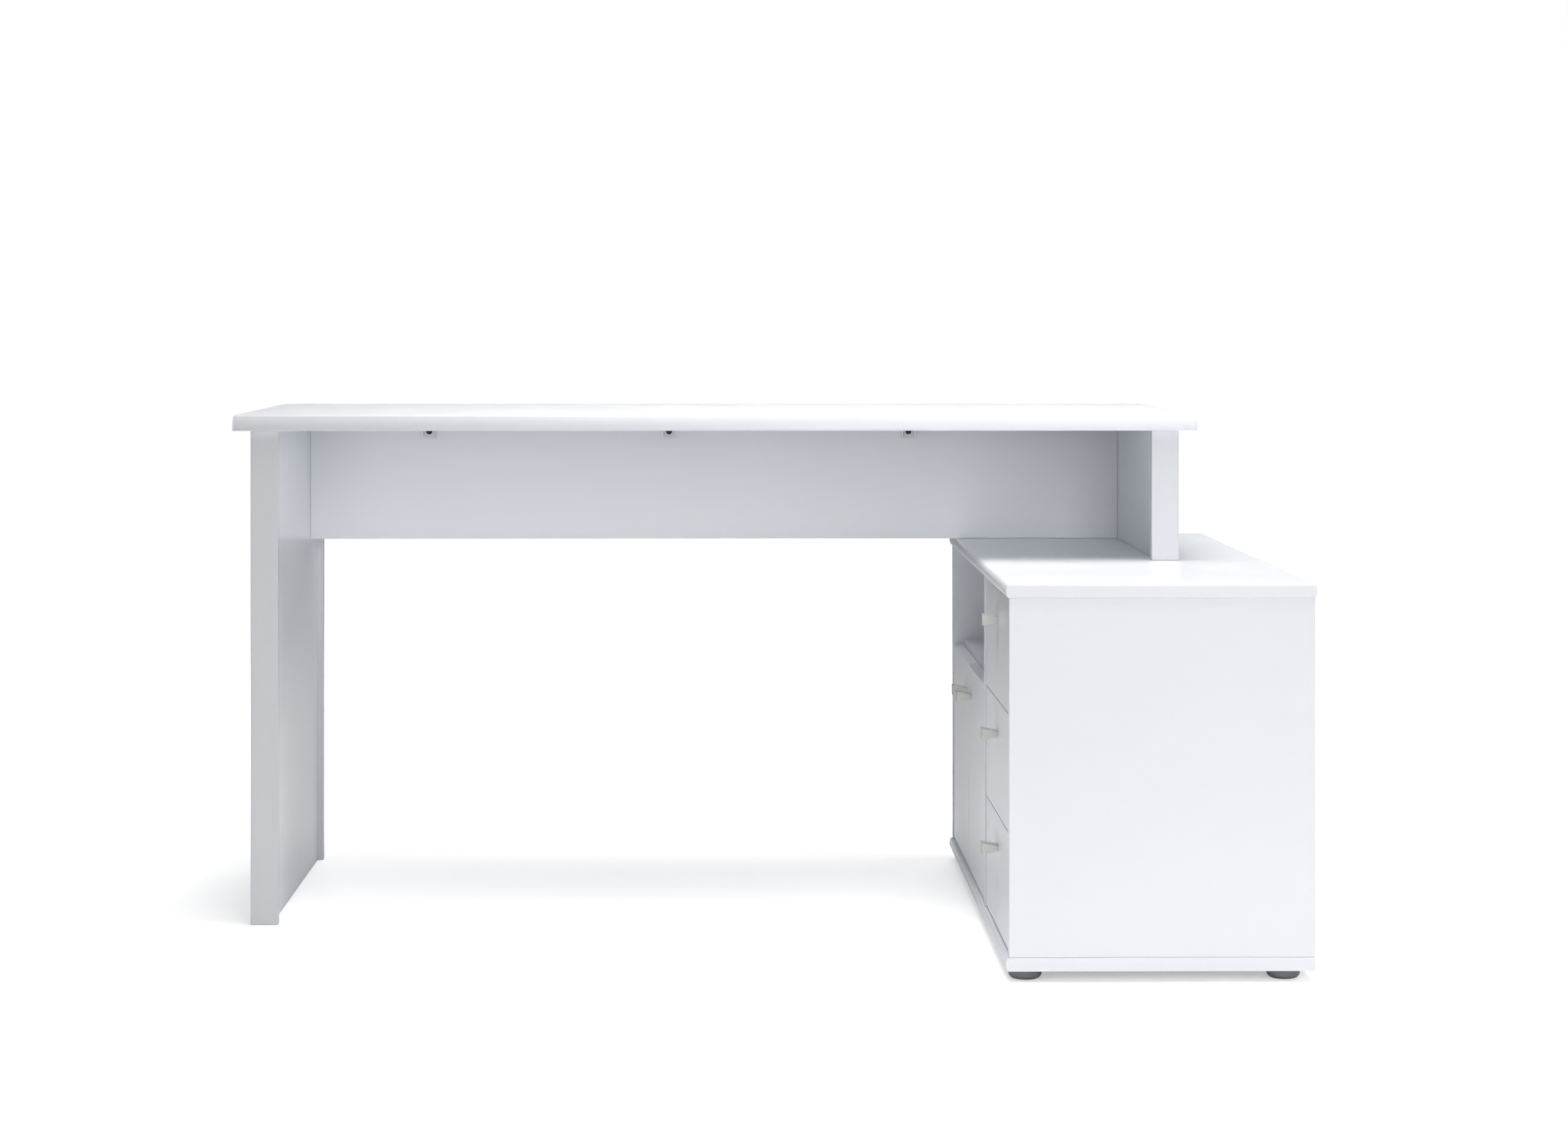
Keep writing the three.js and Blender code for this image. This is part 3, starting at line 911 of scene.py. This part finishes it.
class CORNERDESK_OT_carcass(DeskOperator):
    """Cabinet boards: nosed top and bottom, uprights, niche shelf and nailed back"""

    bl_idname = "corner_desk.carcass"
    bl_label = "Cabinet carcass"

    def make(self):
        boards = settings().boards
        nose = {"-x": boards.nose_edge, "+x": 1.4 * boards.nose_edge}
        swell = {"-x": boards.nose_bulge, "+x": boards.nose_bulge}
        make_board("cabinet_top", 2, ("-y", "+y"), rounding=nose, bulge=swell)
        make_board("cabinet_bottom", 2, ("-y", "+y"), rounding={"-x": boards.nose_edge},
                   bulge={"-x": boards.nose_bulge})
        for end in ("near_end", "far_end"):
            make_board(f"cabinet_{end}", 1, ("-x", "+x"))
        make_board("cabinet_divider", 1, ("-x",))
        make_board("niche_shelf", 2, ("-x",))
        make_board("cabinet_back", 0, suffix="sheet", faces="hardboard")
        self.nail_back()

    def nail_back(self):
        """Nails round the back, and the plastic strip that covers its joint"""
        hardware = settings().hardware
        lo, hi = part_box("cabinet_back")
        joint = middle("cabinet_divider").y
        edge = NAIL_INSET
        places = []
        for y0, y1 in ((lo.y + edge, joint - 2 * edge), (joint + 2 * edge, hi.y - edge)):
            count = max(2, round((y1 - y0) / hardware.nail_pitch))
            across = [y0 + (y1 - y0) * k / count for k in range(count + 1)]
            rise = max(2, round((hi.z - lo.z) / hardware.nail_pitch))
            up = [lo.z + edge + (hi.z - lo.z - 2 * edge) * k / rise for k in range(rise + 1)]
            places += [(y, z) for y in across for z in (up[0], up[-1])]
            places += [(y, z) for y in (across[0], across[-1]) for z in up[1:-1]]
        heads = [(Vector((hi.x - HAIR, y, z)), way(0, 1)) for y, z in places]
        set_heads("cabinet_back_nails", "frame", heads, hardware.nail_radius, 0.0007, 0.0004,
                  "nickel")
        strip = Piece("cabinet_back_joint_strip", finish("white_plastic"))
        strip.add(board_shell(
            Vector((hi.x, joint - STRIP_HALF, lo.z + 0.001)),
            Vector((hi.x + 0.0012, joint + STRIP_HALF, hi.z - 0.001)),
            0, {s: 0.0005 for s in ("-y", "+y", "-z", "+z")}, corner=0.0006,
        ))
        strip.set_on("frame")


class CORNERDESK_OT_feet(DeskOperator):
    """Round moulded feet with a straight side and a rounded lower edge"""

    bl_idname = "corner_desk.feet"
    bl_label = "Feet"

    def make(self):
        for row in ("near", "middle", "far"):
            for column in ("front", "rear"):
                node = f"foot_{row}_{column}"
                lo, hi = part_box(node)
                radius, tall = (hi.x - lo.x) / 2, hi.z - lo.z
                edge, lip = FOOT_EDGE, FOOT_LIP
                bend = [
                    (radius - edge + edge * math.sin(a), edge * (1 - math.cos(a)))
                    for a in (math.pi / 2 * k / 6 for k in range(7))
                ]
                profile = [
                    (0.0, 0.0016), (0.005, 0.0016), (0.0058, 0.0), *bend,
                    (radius, tall - 0.0022 - lip), (radius - lip, tall - 0.0022),
                    (radius - lip, tall - 0.0012), (radius, tall - 0.0012 + lip / 2),
                    (radius - lip / 2, tall), (0.0, tall),
                ]
                centre = Vector(((lo.x + hi.x) / 2, (lo.y + hi.y) / 2, lo.z))
                piece = Piece(f"{node}_glide", finish("foot_plastic"))
                piece.add(turned_shell(profile, centre, 2)).stand_for(node)


def rail_outline(y, wall, z, web, flange):
    """Section of a runner on an upright, in (y, z). wall is +1 where it faces +Y."""
    sheet, lip = RAIL_SHEET, RAIL_LIP
    outline = [
        (0, 0), (flange, 0), (flange, lip), (flange - sheet, lip), (flange - sheet, sheet),
        (sheet, sheet), (sheet, web), (0, web),
    ]
    return [(y + wall * a, z + b) for a, b in outline]


class CORNERDESK_OT_runners(DeskOperator):
    """Runner on each upright with its front roller and screws, and its mate on the drawer"""

    bl_idname = "corner_desk.runners"
    bl_label = "Drawer runners"

    def make(self):
        for level in LEVELS:
            wheels = []
            for side in SIDES:
                wall = 1 if side == "near" else -1
                self.upright_rail(level, side, wall)
                wheels.append(self.drawer_rail(level, side, wall))
            self.rollers(f"drawer_{level}_rollers", f"drawer_{level}", wheels)
        self.rollers("rail_front_rollers", "frame", self.front_wheels)
        screws("rail_screws", "frame", self.rail_bolts)

    def __init__(self, *args, **kwargs):
        super().__init__(*args, **kwargs)
        self.front_wheels, self.rail_bolts = [], []

    def rollers(self, name, body, places):
        hardware = settings().hardware
        set_heads(name, body, places, hardware.roller_radius, hardware.roller_width, 0.0005,
                  "white_plastic")

    def upright_rail(self, level, side, wall):
        node = f"rail_{level}_{side}"
        lo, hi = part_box(node)
        y = lo.y if wall > 0 else hi.y
        outline = rail_outline(y, wall, lo.z, hi.z - lo.z, hi.y - lo.y)
        piece = Piece(f"{node}_profile", finish("runner_coat"))
        # drawn in (y, z), the two axes after x
        piece.add(eased(prism_shell(outline, 0, lo.x, hi.x), 0.0004)).stand_for(node)
        for share_along in (0.1, 0.45, 0.85):
            x = lo.x + share_along * (hi.x - lo.x)
            self.rail_bolts.append(
                (Vector((x, y + wall * (RAIL_SHEET - HAIR), lo.z + 0.016)), way(1, wall))
            )
        radius = settings().hardware.roller_radius
        top = lo.z + 0.0178
        self.front_wheels.append(
            (Vector((lo.x + 0.016, y + wall * (RAIL_SHEET + SUNK), top - radius)), way(1, wall))
        )

    def drawer_rail(self, level, side, wall):
        """Adds the runner's mate under the drawer's side and returns its roller's place"""
        node = f"drawer_{level}_side_{side}"
        lo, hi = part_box(node)
        y = (lo.y if wall > 0 else hi.y) - wall * HAIR
        sheet, reach, tall = MATE_SHEET, MATE_HOOK, MATE_TALL
        outline = [
            (0.010, -sheet - HAIR), (-sheet, -sheet - HAIR), (-sheet, tall - sheet),
            (-sheet - reach, tall - sheet), (-sheet - reach, tall), (0, tall),
            (0, -HAIR), (0.010, -HAIR),
        ]
        outline = [(y + wall * a, lo.z + b) for a, b in outline]
        piece = Piece(f"drawer_{level}_runner_{side}", finish("runner_coat"))
        piece.add(eased(prism_shell(outline, 0, lo.x + 0.001, hi.x), 0.0003))
        piece.set_on(f"drawer_{level}")
        radius = settings().hardware.roller_radius
        height = lo.z + RAIL_LIP + HAIR + radius
        return Vector((hi.x - 0.012, y - wall * (sheet - SUNK), height)), way(1, -wall)


class CORNERDESK_OT_drawers(DeskOperator):
    """Three drawers: banded front, four-sided box and a hardboard bottom"""

    bl_idname = "corner_desk.drawers"
    bl_label = "Drawers"

    def make(self):
        for level in LEVELS:
            name = f"drawer_{level}"
            make_board(f"{name}_front", 0, ("-z", "+z", "-y", "+y"))
            for side in SIDES:
                make_board(f"{name}_side_{side}", 1, ("+z",))
            make_board(f"{name}_back", 0, ("+z",))
            make_board(f"{name}_bottom", 2, suffix="sheet", faces="hardboard")
            self.fix_front(name)

    def fix_front(self, name):
        """Cover caps inside the box, where cams draw the sides to the front"""
        caps = []
        for side, sign in (("near", 1), ("far", -1)):
            lo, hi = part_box(f"{name}_side_{side}")
            y = hi.y if sign > 0 else lo.y
            for z in (lo.z + 0.030, hi.z - 0.024):
                caps.append((Vector((lo.x + 0.024, y - sign * SUNK, z)), way(1, sign)))
        set_heads(f"{name}_caps", name, caps, 0.0075, 0.0012, 0.0005,
                  "white_plastic")


class CORNERDESK_OT_doors(DeskOperator):
    """Two banded doors, bored for their hinge cups, with soft stops"""

    bl_idname = "corner_desk.doors"
    bl_label = "Doors"

    def make(self):
        for side in SIDES:
            body, node = f"door_{side}", f"door_{side}_panel"
            bores = []
            for height in HEIGHTS:
                lo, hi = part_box(f"{body}_hinge_{height}_cup")
                centre = Vector((lo.x - SUNK, (lo.y + hi.y) / 2, (lo.z + hi.z) / 2))
                radius, deep = (hi.y - lo.y) / 2 + SUNK, hi.x - lo.x + 0.001
                profile = [(0.0, 0.0), (radius, 0.0), (radius, deep), (0.0, deep)]
                bores.append(turned_shell(profile, centre, 0))
            make_board(node, 0, ("-z", "+z", "-y", "+y"), drill=bores)
            lo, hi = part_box(node)
            free = hi.y - 0.02 if side == "near" else lo.y + 0.02
            pads = [(Vector((hi.x - HAIR, free, hi.z - 0.005)), way(0, 1))]
            set_heads(f"{body}_pad", body, pads, 0.004, 0.0006, 0.0002,
                      "white_plastic")


class CORNERDESK_OT_handles(DeskOperator):
    """Solid satin handles that widen away from the fronts, with their screws inside"""

    bl_idname = "corner_desk.handles"
    bl_label = "Handles"

    def make(self):
        owners = [f"drawer_{level}" for level in LEVELS] + [f"door_{side}" for side in SIDES]
        for owner in owners:
            node = f"{owner}_handle"
            piece = Piece(f"{node}_bar", finish("satin_handle"))
            piece.add(eased(cad_shell(node), settings().hardware.handle_edge, 3))
            piece.stand_for(node)
            front = f"{owner}_front" if "drawer" in owner else f"{owner}_panel"
            place, back = middle(node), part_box(front)[1].x
            bolts = [
                (Vector((back - HAIR, place.y + step, place.z)), way(0, 1))
                for step in (-HANDLE_SCREW, HANDLE_SCREW)
            ]
            screws(f"{node}_screws", owner, bolts)


class CORNERDESK_OT_hinges(DeskOperator):
    """Cup hinges: a pressed cup on each door and an arm on its upright"""

    bl_idname = "corner_desk.hinges"
    bl_label = "Hinges"

    def make(self):
        arm_bolts = []
        for side in SIDES:
            wall = 1 if side == "near" else -1
            cup_bolts = []
            for height in HEIGHTS:
                name = f"door_{side}_hinge_{height}"
                cup_bolts += self.cup(f"{name}_cup")
                arm_bolts += self.arm(f"{name}_arm", wall)
            screws(f"door_{side}_cup_screws", f"door_{side}", cup_bolts)
        screws("hinge_arm_screws", "frame", arm_bolts)

    def cup(self, node):
        """A pressed cup with two ears, and the places of its screws"""
        lo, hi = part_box(node)
        centre = (lo + hi) / 2
        radius, plate, sheet = (hi.y - lo.y) / 2, HINGE_PLATE, HINGE_SHEET
        deep = hi.x - lo.x
        wall = radius - 0.0004
        profile = [
            (0.0, 0.0), (wall - 0.001, 0.0), (wall, 0.001), (wall, deep - plate),
            (radius, deep - plate), (radius, deep - 0.0004), (radius - 0.0004, deep),
            (wall - 2 * sheet, deep), (wall - 2.4 * sheet, deep - sheet),
            (wall - 2.4 * sheet, 2 * sheet), (wall - 4 * sheet, sheet), (0.0, sheet),
        ]
        piece = Piece(f"{node}_pressing", finish("nickel"))
        piece.add(turned_shell(profile, Vector((lo.x, centre.y, centre.z)), 0))
        pin = [(0.0, 0.0), (0.0018, 0.0), (0.0018, 2 * wall - 0.004), (0.0, 2 * wall - 0.004)]
        pin_base = Vector((hi.x - 0.005, centre.y - 0.006, centre.z - wall + 0.002))
        piece.add(turned_shell(pin, pin_base, 2, 16))
        places = []
        for sign in (-1, 1):
            inner, outer = EAR_START, (hi.z - lo.z) / 2
            ends = sorted((centre.z + sign * inner, centre.z + sign * outer))
            piece.add(board_shell(
                Vector((hi.x - plate, centre.y - EAR_HALF, ends[0])),
                Vector((hi.x - HAIR, centre.y + EAR_HALF, ends[1])),
                0, {}, corner=0.0045,
            ))
            screw = Vector((hi.x - SUNK, centre.y, centre.z + sign * CUP_SCREW))
            places.append((screw, way(0, 1)))
        piece.stand_for(node)
        return places

    def arm(self, node, wall):
        """A cross plate and the arm clipped on it, and the places of their screws"""
        lo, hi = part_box(node)
        centre = (lo + hi) / 2
        foot = lo.y if wall > 0 else hi.y
        reach = hi.y - lo.y

        def out(distance):
            return foot + wall * distance

        piece = Piece(f"{node}_pressing", finish("nickel"))
        low, high = sorted((out(0), out(0.002)))
        piece.add(board_shell(
            Vector((hi.x - 0.030, low, lo.z)), Vector((hi.x - 0.012, high, hi.z)), 1, {},
            corner=0.005,
        ))
        low, high = sorted((out(0), out(0.0055)))
        piece.add(board_shell(
            Vector((hi.x - 0.044, low, centre.z - 0.006)),
            Vector((hi.x - 0.001, high, centre.z + 0.006)), 1, {"-y": 0.0008, "+y": 0.0008},
            corner=0.002,
        ))
        outline = [
            (lo.x, reach), (lo.x, reach - 0.007), (lo.x + 0.012, reach - 0.0085),
            (lo.x + 0.030, 0.0045), (hi.x, 0.0045), (hi.x, 0.0105), (lo.x + 0.040, 0.013),
            (lo.x + 0.018, reach - 0.0005), (lo.x + 0.010, reach),
        ]
        # drawn in (x, y), the two axes after z
        side = [(x, out(d)) for x, d in outline]
        piece.add(eased(prism_shell(side, 2, centre.z - 0.005, centre.z + 0.005), 0.0008))
        piece.stand_for(node)
        return [
            (Vector((hi.x - 0.008, out(0.0103), centre.z)), way(1, wall)),
            (Vector((hi.x - 0.021, out(0.0018), lo.z + 0.0055)), way(1, wall)),
            (Vector((hi.x - 0.021, out(0.0018), hi.z - 0.0055)), way(1, wall)),
        ]


# ------------------------------------------------------------------ stage


class CORNERDESK_OT_stage(DeskOperator):
    """Pale floor, softboxes and the camera"""

    bl_idname = "corner_desk.stage"
    bl_label = "Stage"

    def make(self):
        scene = bpy.context.scene
        scene.view_settings.view_transform = "Standard"
        scene.view_settings.look = "None"
        self.floor()
        self.surroundings(scene)
        self.lights()
        self.camera(scene)

    def floor(self):
        given = settings().stage
        mesh = bpy.data.meshes.new("floor")
        corners = [(-1, -1), (1, -1), (1, 1), (-1, 1)]
        mesh.from_pydata(
            [(FLOOR_REACH * x, FLOOR_REACH * y, -FLOOR_DROP) for x, y in corners],
            [], [[0, 1, 2, 3]],
        )
        made = bpy.data.objects.new("floor", mesh)
        bpy.context.scene.collection.objects.link(made)
        paint = bpy.data.materials.new("floor_paint")
        paint.use_nodes = True
        graph = Graph(paint.node_tree)
        shader = paint.node_tree.nodes["Principled BSDF"]
        shader.inputs["Base Color"].default_value = (*given.floor, 1.0)
        shader.inputs["Roughness"].default_value = 0.9
        shader.inputs["Specular IOR Level"].default_value = 0.1
        seen = graph.node("ShaderNodeLightPath").outputs["Is Camera Ray"]
        place = graph.node("ShaderNodeTexCoord").outputs["Object"]
        away = graph.node("ShaderNodeVectorMath", {0: place}, operation="LENGTH")
        glow = graph.node("ShaderNodeMapRange", {
            "Value": away.outputs["Value"], "From Min": GLOW_START, "From Max": GLOW_END,
            "To Min": given.floor_glow, "To Max": 1.0,
        }, interpolation_type="SMOOTHSTEP")
        shown = graph.node("ShaderNodeVectorMath", {
            0: (1.0, 1.0, 1.0), "Scale": graph.maths("MULTIPLY", seen, glow.outputs[0]),
        }, operation="SCALE")
        graph.feed(shader.inputs["Emission Color"], shown.outputs[0])
        shader.inputs["Emission Strength"].default_value = 1.0
        mesh.materials.append(paint)

    def surroundings(self, scene):
        world = bpy.data.worlds.new("pale_room")
        scene.world = world
        world.use_nodes = True
        graph = Graph(world.node_tree)
        glow = world.node_tree.nodes["Background"]
        glow.inputs["Color"].default_value = (1.0, 1.0, 1.0, 1.0)
        seen = graph.node("ShaderNodeLightPath").outputs["Is Camera Ray"]
        graph.feed(glow.inputs["Strength"], seen)

    def lights(self):
        given = settings().stage
        boxes = (
            ("overhead", (-0.5, -0.4, 3.6), (-0.2, 0.0, 0.0), 3.2, 2.6, 180),
            ("top_beam", (0.0, 0.0, 3.5), (0.0, 0.0, 0.0), 3.0, 2.2, 40),
            ("cabinet_beam", (0.6, -0.5, 3.0), (0.6, -0.4, 0.0), 2.0, 2.0, 60),
            ("front", (0.6, -3.2, 1.2), (0.5, 0.0, 0.4), 1.0, 1.0, 180),
            ("front_left", (-1.0, -3.5, 0.6), (-0.4, 0.0, 0.5), 1.0, 1.0, 180),
            ("right", (2.6, -1.4, 1.2), (0.2, 0.0, 0.4), 1.0, 1.0, 180),
            ("right_dome", (3.2, 0.0, 3.2), (0.2, 0.0, 0.4), 3.0, 5.0, 180),
            ("behind", (0.0, 3.0, 2.6), (0.0, 0.0, 0.6), 2.5, 1.2, 180),
        )
        for name, place, aim, width, height, spread in boxes:
            self.softbox(name, getattr(given, name), place, aim, width, height, spread)

    def softbox(self, name, power, place, aim, width, height, spread):
        light = bpy.data.lights.new(name, "AREA")
        light.shape, light.size, light.size_y = "RECTANGLE", width, height
        light.energy, light.spread = power, math.radians(spread)
        made = bpy.data.objects.new(name, light)
        made.location = place
        made.rotation_euler = (Vector(aim) - Vector(place)).to_track_quat("-Z", "Y").to_euler()
        made.visible_camera = False
        bpy.context.scene.collection.objects.link(made)

    def camera(self, scene):
        lens = bpy.data.cameras.new("studio_camera")
        lens.sensor_width = 36.0
        lens.lens = settings().stage.lens
        lens.shift_x, lens.shift_y = CAMERA_SHIFT
        lens.clip_start, lens.clip_end = 0.1, 100.0
        made = bpy.data.objects.new("studio_camera", lens)
        made.location = CAMERA_PLACE
        made.rotation_euler = (math.pi / 2, 0.0, CAMERA_TURN)
        scene.collection.objects.link(made)
        scene.camera = made


# ------------------------------------------------------------------ panel and registration

PIECES = (
    CORNERDESK_OT_desktop, CORNERDESK_OT_supports, CORNERDESK_OT_back_panel,
    CORNERDESK_OT_brackets, CORNERDESK_OT_carcass, CORNERDESK_OT_feet,
    CORNERDESK_OT_runners, CORNERDESK_OT_drawers, CORNERDESK_OT_doors,
    CORNERDESK_OT_handles, CORNERDESK_OT_hinges, CORNERDESK_OT_stage,
)


class CORNERDESK_PT_sidebar(bpy.types.Panel):
    """Lists the desk's pieces and their settings"""

    bl_idname = "CORNERDESK_PT_sidebar"
    bl_label = "Corner desk"
    bl_space_type = "VIEW_3D"
    bl_region_type = "UI"
    bl_category = "Corner desk"

    def draw(self, context):
        for operator in PIECES:
            self.layout.operator(operator.bl_idname)
        given = context.scene.corner_desk
        for group in (given.boards, given.hardware, given.stage):
            box = self.layout.box()
            for key in group.__annotations__:
                box.prop(group, key)


CLASSES = (
    BoardSettings, HardwareSettings, StageSettings, CornerDeskSettings, *PIECES,
    CORNERDESK_PT_sidebar,
)


def register():
    for cls in CLASSES:
        bpy.utils.register_class(cls)
    bpy.types.Scene.corner_desk = PointerProperty(type=CornerDeskSettings)


def unregister():
    del bpy.types.Scene.corner_desk
    for cls in reversed(CLASSES):
        bpy.utils.unregister_class(cls)


def main():
    register()
    for operator in PIECES:
        group, name = operator.bl_idname.split(".")
        getattr(getattr(bpy.ops, group), name)()


if __name__ == "__main__":
    main()
